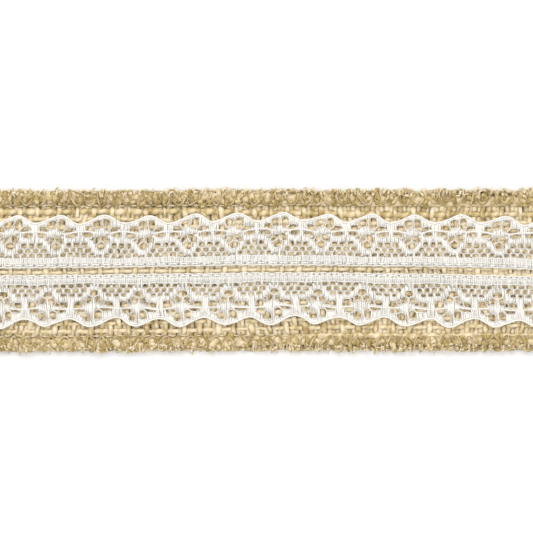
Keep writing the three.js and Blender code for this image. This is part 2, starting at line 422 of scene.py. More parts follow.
def loose_plies(settings):
    """Flat strands that fill the cloth's gaps: one in every gap between two wefts, wandering from side
    to side, low under each warp and higher in the hollows between them; another low in every gap between
    two warps; and three side by side under each long overlocked edge, painted darkest along its needle
    line as the shade of its crevice."""
    rng = np.random.default_rng(290)
    wefts = int(round(2 * CLOTH_HIGH.x / settings.weft_pitch))
    pitch = 2 * CLOTH_HIGH.x / wefts
    reach = HALF_WIDTH - BAND + 1.2 * MM
    warp_pitch = 2 * CLOTH_HIGH.y / settings.warp_count
    steps = 2 * int(2 * reach / warp_pitch) + 1
    along = np.linspace(-reach, reach, steps)[None]
    lanes = lanes_of(wefts - 3)
    across = (lanes - (wefts - 4) / 2) * pitch + 0.3 * MM * wander(along / (2.4 * MM), 3 * lanes + 77)
    height = 0.76 * MM - 0.34 * MM * np.cos(2 * np.pi * along / warp_pitch)
    height = height + rng.normal(0, 0.08 * MM, across.shape)
    wide = 1.12 * MM * (1 + 0.15 * wander(along / (1.7 * MM), 5 * lanes + 31))
    points = np.stack(np.broadcast_arrays(across, along, height), axis=-1)
    tint = rng.uniform(0.35, 0.65, (len(lanes), 1)) + rng.normal(0, 0.15, across.shape)
    # Painted light under the lace, as on the yarns. These strands also get the painted light and shade
    # of their plies' twist.
    tint = tint + PAINTED_LIGHT_UNDER_LACE * (np.abs(along) < LACE_REACH)
    gaps = strands(sway(points), wide, wide * 0.22, 4, (-1.0, 0.0, 0.0), tint=tint, painted_ply_shade=0.2)

    x = np.linspace(-1, 1, wefts + 1)[None] * (HALF_LENGTH - BAND)
    rows = lanes_of(settings.warp_count - 1)
    y = (rows - (settings.warp_count - 2) / 2) * warp_pitch + 0.25 * MM * wander(x / (6 * MM), 41 * rows)
    z = 0.32 * MM + 0.06 * MM * wander(x / (3 * MM), 43 * rows)
    bed = np.stack(np.broadcast_arrays(x, y, z), axis=-1)
    broad = 0.85 * MM * (1 + 0.15 * wander(x / (5 * MM), 47 * rows))
    pale = 0.6 + 0.2 * wander(x / (4 * MM), 53 * rows)
    beds = strands(bed, broad, broad * 0.2, 4, (0.0, 1.0, 0.0), tint=pale)

    x = np.linspace(-1, 1, 3 * wefts + 1)[None] * (HALF_LENGTH - 2 * MM)
    side = np.repeat([-1.0, 1.0], 3)[:, None]
    outward = np.tile([0.15, 1.9, 3.5], 2)[:, None] * MM
    own = lanes_of(6)
    y = side * (HALF_WIDTH - BAND + outward) + 0.25 * MM * wander(x / (3 * MM), 17 * own + 1)
    z = 0.42 * MM + 0.15 * MM * wander(x / (2 * MM), 23 * own + 1)
    line = np.stack(np.broadcast_arrays(x, y, z), axis=-1)
    broad = 0.95 * MM * (1 + 0.2 * wander(x / (2 * MM), 29 * own + 1))
    # Painted shade: the strands under the band are darkest along the needle line and paler outwards.
    dark = 0.1 + 0.1 * outward / MM + 0.3 * wander(x / (1.5 * MM), 31 * own + 1)
    lines = strands(line, broad, broad * 0.3, 4, (0.0, 1.0, 0.0), tint=dark)
    material = jute("loose_jute")
    return make_piece("burlap_loose_plies", [gaps, beds, lines], material, ["burlap_cloth"])


def loose_fibres(settings):
    """Fibres that stand off the yarns: gently curved paths scattered over the cloth at random. Two in
    three are coarse and lie low, across the cloth's gaps; the others are hairs on top of it."""
    rng = np.random.default_rng(300)
    count = settings.loose_fibres
    low = (np.arange(count) % 3 != 0)[:, None]
    place = [
        rng.uniform(-1, 1, count) * (HALF_LENGTH - BAND),
        rng.uniform(-1, 1, count) * (HALF_WIDTH - BAND),
    ]
    height = np.where(low, rng.uniform(0.3, 1.0, (count, 1)), rng.uniform(1.1, 1.9, (count, 1))) * MM
    heading = rng.choice([0.0, 0.5, 1.0, 1.5], (count, 1)) * np.pi + rng.normal(0, 0.45, (count, 1))
    length = np.where(low, rng.uniform(2.0, 4.5, (count, 1)), rng.uniform(1.5, 5.0, (count, 1))) * MM
    q = np.linspace(0, 1, 4)[None]
    angle = heading + rng.normal(0, 0.9, (count, 1)) * q
    run = length * q
    rise = rng.uniform(-0.2, 0.3, (count, 1)) * MM * np.sin(np.pi * q)
    across, along = place[0][:, None] + run * np.cos(angle), place[1][:, None] + run * np.sin(angle)
    points = np.stack([across, along, np.maximum(height + rise, 0.1 * MM)], axis=-1)
    wide = np.where(low, rng.uniform(0.1, 0.24, (count, 1)), rng.uniform(0.04, 0.09, (count, 1))) * MM
    wide = wide * (1 - 0.4 * q)
    tint = np.where(low, rng.uniform(0.35, 0.75, (count, 1)), rng.uniform(0.5, 1.0, (count, 1)))
    tube = strands(points, wide, wide, 3, tint=tint)
    return make_piece("burlap_loose_fibres", [tube], jute("burlap_jute"), ["burlap_cloth"])


# ---- Lace ----


# One scallop's openings: u along the strip from the stem under the scallop's tip, v from the heading's
# free edge, half-width, half-height, lean, squareness and half-thickness of the rim, in millimetres.
# Two windows stand either side of the stem. Then come the flower's openings above and below the wave
# cord, two leaves and the diamond on its trunk. The near strip lies turned round, and drawn to its left.
FAR_OPENINGS = (
    (-1.65, 13.15, 1.25, 1.34, 0.15, 3.3, 0.17),
    (1.45, 13.1, 1.17, 1.74, 0.0, 3.9, 0.17),
    (-4.0, 11.8, 1.37, 0.92, 0.1, 3.5, 0.15),
    (3.45, 11.65, 1.5, 0.74, 0.5, 2.5, 0.15),
    (-4.92, 9.94, 1.41, 0.74, -0.2, 3.1, 0.15),
    (4.35, 9.95, 1.3, 0.74, 0.2, 3.1, 0.15),
    (-3.2, 8.7, 0.55, 0.49, 0.3, 2.5, 0.12),
    (1.6, 10.1, 0.2, 0.2, 0.0, 2.0, 0.1),
    (-1.9, 8.35, 0.87, 1.09, 0.4, 2.7, 0.15),
    (0.55, 8.6, 1.07, 1.19, -0.25, 2.9, 0.15),
    (-0.8, 6.6, 1.23, 1.29, 0.0, 2.2, 0.18),
    (-1.4, 3.5, 0.1, 0.5, 0.0, 2.0, 0.1),
    (-0.3, 3.5, 0.1, 0.45, 0.0, 2.0, 0.1),
)
NEAR_OPENINGS = (
    (-1.67, 13.15, 1.27, 1.28, 0.2, 3.1, 0.17),
    (1.7, 12.55, 1.14, 1.36, 0.1, 3.3, 0.17),
    (-3.7, 11.5, 1.42, 0.78, 0.3, 2.9, 0.15),
    (3.84, 10.95, 1.57, 0.66, 0.3, 2.9, 0.15),
    (-4.33, 9.35, 1.38, 1.16, -0.15, 3.5, 0.15),
    (4.9, 9.3, 1.22, 0.8, 0.35, 2.9, 0.15),
    (-2.6, 8.5, 0.72, 0.73, 0.0, 2.5, 0.12),
    (2.6, 9.0, 0.84, 0.68, 0.5, 2.5, 0.12),
    (-1.1, 7.85, 1.0, 1.1, -0.3, 2.8, 0.15),
    (1.5, 8.05, 0.88, 1.13, 0.2, 2.8, 0.15),
    (0.3, 6.1, 1.39, 1.02, 0.0, 2.5, 0.18),
    (-0.3, 3.4, 0.1, 0.45, 0.0, 2.0, 0.1),
    (0.8, 3.4, 0.1, 0.45, 0.0, 2.0, 0.1),
)
# The fan of net holes: how many stand in a row, v and half-height, for the far and the near strip.
FAR_NET = ((3, 6.75, 0.82), (4, 5.12, 0.72), (5, 3.72, 0.64))
NEAR_NET = ((3, 6.42, 0.46), (4, 5.0, 0.66), (5, 3.62, 0.64))
PINHOLE = 0.27  # half the height of a pinhole in the heading, millimetres


def scalloped_edge(u, repeat, side):
    """Distance of the lace's outer edge from its heading, at u from a scallop's middle.

    A raised cosine between the notch and the tip, (1 + cos(t)) / 2 with t = a - lean * (1 + cos(a)) / 2
    and a = 2 pi u / repeat, so the tip leans to one side, and to the other on the turned strip.
    """
    angle = 2 * np.pi * u / repeat
    lean = 0.5 if side > 0 else -0.35
    wave = (1 + np.cos(angle - lean * (1 + np.cos(angle)) / 2)) / 2
    notch = LACE_HEIGHT - 2.6 * MM
    return notch + (LACE_HEIGHT - 0.1 * MM - notch) * wave


def lace_holes(repeat, skew, side):
    """All the openings of one scallop, with the fan of net holes between two diamonds: rows of three,
    four and five holes a sixth of a scallop apart, skewed along the strip."""
    cell = repeat / MM / 6
    fan = repeat / MM / 2 + skew
    holes = list(FAR_OPENINGS if side > 0 else NEAR_OPENINGS)
    for row, (across, v, height) in enumerate(FAR_NET if side > 0 else NEAR_NET):
        for k in range(across):
            u = fan + (k - (across - 1) / 2) * cell
            holes.append((u, v, 0.84, height, 0.06 * row, 2.4, 0.12))
    return np.array(holes)


def hole_outline(hole, angle, grow):
    """A hole's outline: the superellipse |x/a|^n + |y/b|^n = 1, leaning by x += lean * y."""
    u, v, a, b, lean, square, _ = hole
    c, s = np.cos(angle), np.sin(angle)
    radius = (np.abs(c / (a + grow)) ** square + np.abs(s / (b + grow)) ** square) ** (-1 / square)
    return u + radius * c + lean * radius * s, v + radius * s


def solid_stretches(column, top, holes, repeat, pinned):
    """The stretches of one column, at u = column, that thread fills between the heading and the edge.
    A pinned column also has a pinhole at either side of the heading."""
    v = np.arange(0.1, top, 0.04)
    open_here = pinned & ((np.abs(v - 0.6) < PINHOLE) | (np.abs(v - 3.05) < PINHOLE))
    span = repeat / MM
    for u, middle, a, b, lean, square, _ in holes:
        across = (column - u - lean * (v - middle) + span / 2) % span - span / 2
        a, b = a + 0.24, b + 0.12
        open_here |= np.abs(across / a) ** square + np.abs((v - middle) / b) ** square < 1
    filled = np.concatenate([[False], ~open_here, [False]])
    change = np.flatnonzero(filled[1:] != filled[:-1])
    starts, stops = v[change[::2]], v[change[1::2] - 1]
    return [(a, b) for a, b in zip(starts, stops) if b - a > 0.2]


def lace_drift(x):
    """How far both strips and their seams stray from a straight line at x: a slow cosine wave, and one
    short sag shaped like exp(-t^2)."""
    sag = np.exp(-(((x - 85 * MM) / (18 * MM)) ** 2))
    return 0.4 * MM * np.cos((x - 2 * MM) / (34 * MM)) - 0.7 * MM * sag


def lace_place(u, v, z, side, seed):
    """Motif millimetres as points of the runner, with the lace's own waver and unevenness.

    y = side * (heading + v), plus a slow drift of the whole strip and small smooth displacements of
    both u and v, so that no two scallops are quite alike.
    """
    x = u * MM
    du = 0.2 * np.sin(u / 3.1 + v / 2.3 + seed) + 0.22 * np.sin(u / 7.7 - v / 4.1 + 2 * seed)
    du = du + 0.12 * np.sin(u / 1.9 + v / 1.3 + 3 * seed)
    dv = 0.16 * np.sin(u / 4.3 - v / 3.7 + 5 * seed) + 0.2 * np.sin(u / 11.3 + 7 * seed)
    dv = dv + 0.1 * np.sin(u / 1.7 - v / 2.1 + 4 * seed)
    fixed = np.clip(v / 3.0, 0.25, 1.0)
    y = side * (HEADING_EDGE + (v + dv * fixed) * MM) + lace_drift(x)
    bumps = 0.1 * MM * np.sin(x / (0.9 * MM)) * np.sin(y / (0.81 * MM))
    height = LACE_BOTTOM - 0.2 * MM + z * MM + bumps
    return np.stack(np.broadcast_arrays(x + du * fixed * MM, y, height), axis=-1)


def make_lace(side, name, phase, settings, seed):
    """One lace strip: filling threads laid across it in pairs, and outline threads round every opening,
    along the scalloped edge, the wave cord and the heading."""
    rng = np.random.default_rng(seed)
    repeat = settings.repeat * (1 - 0.006 * side)
    span = repeat / MM
    skew = settings.far_skew if side > 0 else settings.near_skew
    holes = lace_holes(repeat, skew / MM, side)
    first = int(math.floor(-LACE_HALF_LENGTH / repeat)) - 1
    centres = (phase + repeat * np.arange(first, -first + 1)) / MM
    limit = LACE_HALF_LENGTH / MM + 2.0
    columns = settings.columns

    legs = []
    for k in range(columns):
        pair = 0.02 * (1 if k % 2 else -1)
        column = span / 2 + skew / MM + k * span / columns - pair
        column = (column + span / 2) % span - span / 2
        top = scalloped_edge(column * MM, repeat, side) / MM
        stretches = solid_stretches(column, top, holes, repeat, k % 3 == 1)
        legs += [(column, a, b, k) for a, b in stretches]
    legs = np.array(legs)
    u = (centres[:, None] + legs[None, :, 0]).reshape(-1, 1)
    low = np.broadcast_to(legs[:, 1], (len(centres), len(legs))).reshape(-1, 1)
    high = np.broadcast_to(legs[:, 2], (len(centres), len(legs))).reshape(-1, 1)
    odd = np.broadcast_to(legs[:, 3] % 2, (len(centres), len(legs))).reshape(-1, 1)
    keep = np.abs(u[:, 0]) < limit
    u, low, high, odd = u[keep], low[keep], high[keep], odd[keep]
    q = np.linspace(0, 1, settings.leg_steps)[None]
    wobble = rng.normal(0, 0.045, (len(u), settings.leg_steps))
    level = 0.2 + 0.04 * odd + 0.02 * rng.normal(size=u.shape)
    arch = 0.06 * np.sin(np.pi * q)
    paths = lace_place(u + wobble, low + (high - low) * q, level + arch, side, seed)
    wide = settings.thread * rng.uniform(0.9, 1.1, (len(u), 1)) * np.ones_like(q)
    shade = rng.uniform(0.2, 0.9, (len(u), 1)) - 0.45 * np.clip(3.4 - low - (high - low) * q, 0, 1)
    filling = strands(paths, wide, wide * 0.55, 4, tint=shade)

    rims = []
    angle = 2 * np.pi * np.arange(settings.rim_steps) / settings.rim_steps
    for hole in holes:
        rim = hole[6]
        hu, hv = hole_outline(hole, angle if side > 0 else -angle, rim * 0.9)
        ring = centres[:, None] + hu[None]
        inside = np.abs(ring).max(axis=1) < limit
        paths = lace_place(ring[inside], np.broadcast_to(hv, ring.shape)[inside], 0.34, side, seed)
        rims.append(strands(paths, rim * MM, rim * 0.8 * MM, 3, closed=True))

    cords = []
    steps = int(2 * limit / span * columns)
    along = np.linspace(-limit, limit, steps + 1)[None]
    phase_u = along - phase / MM
    edge = scalloped_edge(phase_u * MM, repeat, side) / MM
    picot = 2 * np.pi * phase_u / (span / 4)
    flower = np.cos(2 * np.pi * (phase_u - 0.3 * side) / span)
    rise = 0.95 if side > 0 else 0.5
    wave_level = 0.4 - 0.3 * np.clip(3 * flower - 1.2, 0, 1)
    lines = [
        (edge, 0.42, 0.27),
        (edge - 0.6, 0.3, 0.15),
        (10.15 + rise * np.clip((1 - flower) / 2, 0, 1) ** 0.7, wave_level, 0.2),
        (0.16 + 0.1 * np.cos(picot), 0.3, 0.18),
        (1.5 + 0.05 * np.sin(picot), 0.32, 0.12),
        (2.85 + 0.06 * np.sin(picot + 1), 0.32, 0.14),
    ]
    for v, z, half in lines:
        paths = lace_place(along, v, z, side, seed)
        girth = half * MM * (1 + 0.12 * wander(along / 1.3, np.mean(v)))
        cords.append(strands(paths, girth, girth * 0.85, 4))

    parts = (("filling", [filling]), ("rim", rims), ("cord", cords))
    return [
        make_piece(f"{name}_{part}_threads", bundles, lace_cotton(), [name])
        for part, bundles in parts
    ]


# ---- Seams ----


def lockstitch(side, settings, name):
    """One row of lockstitch through a lace heading: the needle thread lies on top and the bobbin thread
    beneath, and they meet inside the cloth at every needle hole.

    Height is rest - drop * |cos(pi * stitch)|^8, so each stitch is a low bridge between two holes.
    """
    stitch = settings.stitch
    count = int(2 * LACE_HALF_LENGTH / stitch)
    steps = count * settings.steps
    along = np.linspace(-count / 2, count / 2, steps + 1)[None]
    dip = np.abs(np.cos(np.pi * along)) ** 8
    y = side * SEAM_LINE + lace_drift(along * stitch) + 0.08 * MM * wander(along * 0.7, 61 + side)
    top = LACE_BOTTOM + 0.34 * MM - (LACE_BOTTOM - 0.5 * MM) * dip
    under = 0.22 * MM + 0.75 * MM * dip
    half = settings.thread
    for thread, height in (("needle_thread", top), ("bobbin_thread", under)):
        paths = np.stack([along * stitch, y, height], axis=-1)
        tube = strands(paths, half, half * 0.9, 4, (0.0, 1.0, 0.0))
        node = f"{name}_{thread}"
        make_piece(f"{node}_stitches", [tube], sewing_cotton(), [node])


# ---- Overlocked edges ----


def edge_place(edge, along, outward, up):
    """(along the edge, outward from the band's inner line, up) as points of the runner."""
    along, outward, up = np.broadcast_arrays(along, outward, up)
    if edge in ("far_edge", "near_edge"):
        sign = 1 if edge == "far_edge" else -1
        return np.stack([along, sign * (HALF_WIDTH - BAND + outward), up], axis=-1)
    sign = 1 if edge == "right_end" else -1
    return np.stack([sign * (HALF_LENGTH - BAND + outward), along, up], axis=-1)


def overlock(edge, settings, seed):
    """The three threads of one overlocked edge.

    For stitch number n and place w within it, from 0 to 1, a looper thread stands outward by
        reach * ((1 - cos(2 pi w)) / 2)^0.8
    so it swings from the needle line to the cut edge and back. The upper looper passes over the yarn
    ends and the lower looper under the cloth, and they meet round the cut edge. Each stitch has its own
    reach and lean.
    """
    rng = np.random.default_rng(seed)
    is_long = edge in ("far_edge", "near_edge")
    half = (HALF_LENGTH if is_long else HALF_WIDTH) - (0.6 * MM if is_long else 0.5 * MM)
    count = int(round(2 * half / settings.stitch))
    stitch = 2 * half / count
    steps = settings.steps
    n = np.arange(count * steps + 1)[None]
    w = n / steps
    number = np.minimum(n // steps, count - 1)
    reach = (BAND - 0.25 * MM) * (1 + 0.22 * rng.uniform(-1, 0.15, count))[number]
    swing = ((1 - np.cos(2 * np.pi * w)) / 2) ** 0.8
    lean = 0.22 * np.sin(2 * np.pi * w) + 0.3 * swing * rng.uniform(-1, 1, count)[number]
    along = np.clip(-half + (w + lean + 0.09 * wander(w * 6.3, seed)) * stitch, -half, half)
    round_edge = np.clip((swing - 0.72) / 0.28, 0, 1) ** 1.5

    pile = BAND_TOP - 0.85 * MM + 0.45 * MM * wander(w * 4.1, seed + 5)
    valley = CLOTH_THICK - 0.25 * MM
    up_top = valley + (pile - valley) * np.clip(swing / 0.3, 0, 1)
    up_top = up_top * (1 - round_edge) + 1.5 * MM * round_edge
    upper_path = edge_place(edge, along, reach * swing, up_top)

    swing_low = ((1 - np.cos(2 * np.pi * w)) / 2) ** 0.7
    lean_low = -0.2 * np.sin(2 * np.pi * w) + 0.25 * swing_low * rng.uniform(-1, 1, count)[number]
    along_low = np.clip(-half + (w + lean_low) * stitch, -half, half)
    round_low = np.clip((swing_low - 0.7) / 0.3, 0, 1) ** 1.5
    low = 0.3 * MM + 0.08 * MM * wander(w * 2.7, seed + 9)
    up_low = low * (1 - round_low) + 1.75 * MM * round_low
    reach_low = (BAND - 0.2 * MM) * (1 + 0.2 * rng.uniform(-1, 0.2, count))[number]
    lower_path = edge_place(edge, along_low, reach_low * swing_low, up_low)

    hole = np.abs(np.cos(np.pi * w)) ** 4
    line = 0.16 * MM * wander(w * 1.7, seed + 13)
    up_needle = CLOTH_THICK - 0.2 * MM - 1.05 * MM * hole
    needle_path = edge_place(edge, -half + w * stitch, line - 0.1 * MM, up_needle)

    for thread, path, size in (
        ("upper_looper_thread", upper_path, 1.0),
        ("lower_looper_thread", lower_path, 1.15),
        ("needle_thread", needle_path[:, ::2], 0.85),
    ):
        place = w[:, :: 2 if thread == "needle_thread" else 1]
        girth = size * settings.thread * (1 + 0.45 * wander(place * 7.0, seed + 17))
        # Painted shade: the looper threads are tinted dark, for the crevices between the lumps they hold
        # down.
        shade = 0.3 + 0.45 * wander(place * 7.0, seed + 23)
        if thread == "needle_thread":
            # Painted light and shade: the needle thread is pale in the middle of each stitch and dark
            # where it dives into its holes.
            shade = 0.95 * np.abs(np.sin(np.pi * place)) ** 2
        # The tube also gets a small painted highlight on its top.
        tube = strands(path, girth, girth * 0.9, 4, tint=shade, painted_top_highlight=0.15)
        node = f"{edge}_{thread}"
        make_piece(f"{node}_loops", [tube], jute("overlock_jute"), [node])


def frayed_ends(edge, settings, seed):
    """Fibres of the cut yarns that stick out between the loops: short curved wisps fanning outwards
    from the cut edge, thick at the root and thin at the tip."""
    rng = np.random.default_rng(seed)
    is_long = edge in ("far_edge", "near_edge")
    half = (HALF_LENGTH if is_long else HALF_WIDTH) - 0.8 * MM
    tufts = int(2 * half / settings.tuft_pitch)
    fibres = settings.tuft_fibres
    count = tufts * fibres
    tuft = np.repeat(np.linspace(-half, half, tufts) + rng.normal(0, 0.5 * MM, tufts), fibres)
    strength = np.repeat(rng.gamma(2.0, 0.4, tufts), fibres)
    lean = np.repeat(rng.normal(0, 0.6, tufts), fibres) + rng.normal(0, 0.5, count)
    root = BAND - rng.uniform(0.5, 2.2, count) * MM
    length = np.clip(strength * rng.uniform(0.5, 1.0, count) + 0.45, 0.4, 1.6) * MM
    q = np.linspace(0, 1, 4)[None]
    curl = rng.normal(0, 0.8, (count, 1))
    angle = lean[:, None] + curl * q
    run = length[:, None] * q
    up = rng.uniform(0.7, 2.7, (count, 1)) * MM + rng.uniform(-0.8, 0.3, (count, 1)) * MM * q**2
    along = np.clip(tuft[:, None] + run * np.sin(angle), -half - 1 * MM, half + 1 * MM)
    paths = edge_place(edge, along, root[:, None] + run * np.cos(angle), np.maximum(up, 0.15 * MM))
    wide = rng.uniform(0.25, 0.55, (count, 1)) * MM * (1 - 0.6 * q**2)
    tint = rng.uniform(0.45, 1.0, (count, 1))
    return strands(paths, wide, wide * 0.8, 3, tint=tint)


# ---- Materials ----

FIBRE_RELIEF = 0.25 * MM  # height of the fibres that the bump shows
PATCH_SHARE = 0.6  # how strongly the patches show, against the streaks
ROUGHNESS_SPREAD = 0.12


def add_node(tree, kind, values=None, **settings):
    """Adds a node to a tree. settings set the node's own properties, and values its input sockets,
    either to a number or colour or to another node's output, which is linked."""
    made = tree.nodes.new(kind)
    for key, value in settings.items():
        setattr(made, key, value)
    for socket, value in (values or {}).items():
        if isinstance(value, bpy.types.NodeSocket):
            tree.links.new(value, made.inputs[socket])
        else:
            made.inputs[socket].default_value = value
    return made


def maths(tree, operation, first, second=0.0):
    """A Math node's output."""
    return add_node(tree, "ShaderNodeMath", {0: first, 1: second}, operation=operation).outputs[0]


def spun_fibre_group():
    """Node group: fibres laid round a spun thread.

    The thread's UV map gives millimetres along it and turns round it. The point
        (along * stretch, cos(angle), sin(angle)) with angle = 2 pi (around + along / lay)
    winds round the thread once every lay, so noise read there runs in helical streaks with no seam.
    """
    found = bpy.data.node_groups.get("Spun fibre")
    if found:
        return found
    tree = bpy.data.node_groups.new("Spun fibre", "ShaderNodeTree")
    sockets = tree.interface
    sockets.new_socket("Thread UV", in_out="INPUT", socket_type="NodeSocketVector")
    for name, value in (("Lay", 9.0), ("Stretch", 0.35), ("Fibres", 2.2)):
        sockets.new_socket(name, in_out="INPUT", socket_type="NodeSocketFloat").default_value = value
    sockets.new_socket("Streaks", in_out="OUTPUT", socket_type="NodeSocketFloat")
    sockets.new_socket("Patches", in_out="OUTPUT", socket_type="NodeSocketFloat")
    given = tree.nodes.new("NodeGroupInput")
    parts = add_node(tree, "ShaderNodeSeparateXYZ", {0: given.outputs["Thread UV"]})
    along, around = parts.outputs[0], parts.outputs[1]
    turns = maths(tree, "ADD", around, maths(tree, "DIVIDE", along, given.outputs["Lay"]))
    angle = maths(tree, "MULTIPLY", turns, 2 * math.pi)
    point = add_node(
        tree,
        "ShaderNodeCombineXYZ",
        {
            0: maths(tree, "MULTIPLY", along, given.outputs["Stretch"]),
            1: maths(tree, "COSINE", angle),
            2: maths(tree, "SINE", angle),
        },
    ).outputs[0]
    tinted = add_node(tree, "ShaderNodeAttribute", attribute_name="tint").outputs["Fac"]
    shift = maths(tree, "MULTIPLY", tinted, 47.0)
    streaks = add_node(
        tree,
        "ShaderNodeTexNoise",
        {"Vector": point, "W": shift, "Scale": given.outputs["Fibres"], "Detail": 4.0, "Roughness": 0.7},
        noise_dimensions="4D",
    )
    patches = add_node(
        tree,
        "ShaderNodeTexNoise",
        {
            "W": maths(tree, "ADD", maths(tree, "MULTIPLY", along, 0.7), shift),
            "Scale": 1.0,
            "Detail": 3.0,
        },
        noise_dimensions="1D",
    )
    out = tree.nodes.new("NodeGroupOutput")
    tree.links.new(streaks.outputs[0], out.inputs["Streaks"])
    tree.links.new(patches.outputs[0], out.inputs["Patches"])
    return tree


def thread_material(name, shades, lay, fibres, stretch, contrast, bump, roughness, tint_share):
    """A spun thread: its colour runs through shades, dark to light, by the thread's tint, which holds
    its own tone and any painted light and shade, by its patches and by its fibre streaks, and the
    streaks also raise a bump and change the roughness."""
    found = bpy.data.materials.get(name)
    if found:
        return found
    material = bpy.data.materials.new(name)
    material.use_nodes = True
    tree = material.node_tree
    shader = tree.nodes["Principled BSDF"]
    uv = add_node(tree, "ShaderNodeUVMap", uv_map="thread").outputs[0]
    fibre = add_node(tree, "ShaderNodeGroup", node_tree=spun_fibre_group())
    tree.links.new(uv, fibre.inputs["Thread UV"])
    fibre.inputs["Lay"].default_value = lay
    fibre.inputs["Fibres"].default_value = fibres
    fibre.inputs["Stretch"].default_value = stretch
    tint = add_node(tree, "ShaderNodeAttribute", attribute_name="tint").outputs["Fac"]
    mix = maths(tree, "MULTIPLY", tint, tint_share)
    for output, gain in (("Streaks", contrast), ("Patches", PATCH_SHARE * contrast)):
        uneven = maths(tree, "SUBTRACT", fibre.outputs[output], 0.5)
        mix = maths(tree, "ADD", mix, maths(tree, "MULTIPLY", uneven, gain))
    mix = maths(tree, "ADD", mix, (1 - tint_share) / 2)
    ramp = add_node(tree, "ShaderNodeValToRGB", {0: mix})
    bar = ramp.color_ramp
    while len(bar.elements) < len(shades):
        bar.elements.new(0.5)
    for element, (place, colour) in zip(bar.elements, shades):
        element.position = place
        element.color = (*colour, 1.0)
    tree.links.new(ramp.outputs[0], shader.inputs["Base Color"])
    rough = add_node(
        tree,
        "ShaderNodeMapRange",
        {0: fibre.outputs["Streaks"], 3: roughness + ROUGHNESS_SPREAD, 4: roughness - ROUGHNESS_SPREAD},
    )
    tree.links.new(rough.outputs[0], shader.inputs["Roughness"])
    raised = add_node(
        tree,
        "ShaderNodeBump",
        {"Strength": bump, "Distance": FIBRE_RELIEF, "Height": fibre.outputs["Streaks"]},
    )
    tree.links.new(raised.outputs[0], shader.inputs["Normal"])
    shader.inputs["Sheen Weight"].default_value = 0.1
    shader.inputs["Specular IOR Level"].default_value = 0.25
    return material


def jute(name):
    """Natural jute for the cloth's yarns, a little darker for the overlocking's threads, or greyer for
    the flat strands in the cloth's gaps: partly their own paler colour and partly painted shade, the
    look of the shaded table seen through the gaps."""
    finish = bpy.context.scene.runner_finish
    share = finish.overlock_share if name == "overlock_jute" else 1.0
    greyness = finish.loose_grey_and_painted_shade if name == "loose_jute" else 0.0
    dark, middle, light = (
        tuple(share * (c + greyness * (sum(colour) / 3 - c)) for c in colour)
        for colour in (finish.jute_dark, finish.jute_middle, finish.jute_light)
    )
    # The deepest stop is for the lowest tints, which come mostly from the painted shade along the needle
    # lines, in the hooks' necks and on the looper threads.
    deepest = tuple(0.6 * c for c in dark)
    shades = [(0.1, deepest), (0.28, dark), (0.47, middle), (0.72, light)]
    return thread_material(name, shades, 9.0, 2.6, 0.7, 1.5, 0.7, 0.85, 0.6)


def lace_cotton():
    """White lace yarn: soft, nearly matt, hardly varied."""
    base = tuple(bpy.context.scene.runner_finish.lace_colour)
    shades = [(0.36, tuple(0.78 * c for c in base)), (0.57, base)]
    return thread_material("lace_yarn", shades, 1.6, 1.6, 1.1, 0.9, 0.3, 0.7, 0.3)


def sewing_cotton():
    """White spun sewing thread, with a tighter twist than the lace yarn."""
    base = tuple(bpy.context.scene.runner_finish.sewing_colour)
    shades = [(0.2, tuple(0.9 * c for c in base)), (0.7, base)]
    return thread_material("sewing_cotton", shades, 0.9, 1.4, 0.35, 0.4, 0.4, 0.6, 0.3)


def floor_material():
    """A plain pale studio floor with a faint mottle."""
    material = bpy.data.materials.new("studio_floor")
    material.use_nodes = True
    tree = material.node_tree
    shader = tree.nodes["Principled BSDF"]
    place = add_node(tree, "ShaderNodeTexCoord").outputs["Object"]
    noise = add_node(tree, "ShaderNodeTexNoise", {"Vector": place, "Scale": 9.0, "Detail": 3.0})
    ramp = add_node(tree, "ShaderNodeValToRGB", {0: noise.outputs[0]})
    ramp.color_ramp.elements[0].color = (0.86, 0.86, 0.86, 1)
    ramp.color_ramp.elements[1].color = (0.9, 0.9, 0.9, 1)
    tree.links.new(ramp.outputs[0], shader.inputs["Base Color"])
    shader.inputs["Roughness"].default_value = 0.7
    shader.inputs["Specular IOR Level"].default_value = 0.2
    return material


# ---- Settings ----


class RunnerWeave(PropertyGroup):
    """The burlap's yarns."""

    warp_count: IntProperty(name="Warp yarns", description="Yarns along the runner", default=19, min=3)
    weft_pitch: FloatProperty(
        name="Weft spacing", description="Distance between yarns across",
        default=2.76 * MM, unit="LENGTH",
    )
    yarn_width: FloatProperty(
        name="Yarn width", description="Mean width", default=1.72 * MM, unit="LENGTH"
    )
    yarn_depth: FloatProperty(
        name="Yarn depth", description="Mean thickness", default=0.86 * MM, unit="LENGTH"
    )
    crimp: FloatProperty(
        name="Crimp", description="Rise and fall of a yarn", default=0.4 * MM, unit="LENGTH"
    )
    wander: FloatProperty(
        name="Wander", description="Sideways stray of a yarn", default=0.4 * MM, unit="LENGTH"
    )
    unevenness: FloatProperty(
        name="Unevenness", description="How lumpy the yarn is", default=0.24, subtype="FACTOR"
    )
    loose_fibres: IntProperty(
        name="Loose fibres", description="Fibres off the yarns", default=3000, min=3
    )


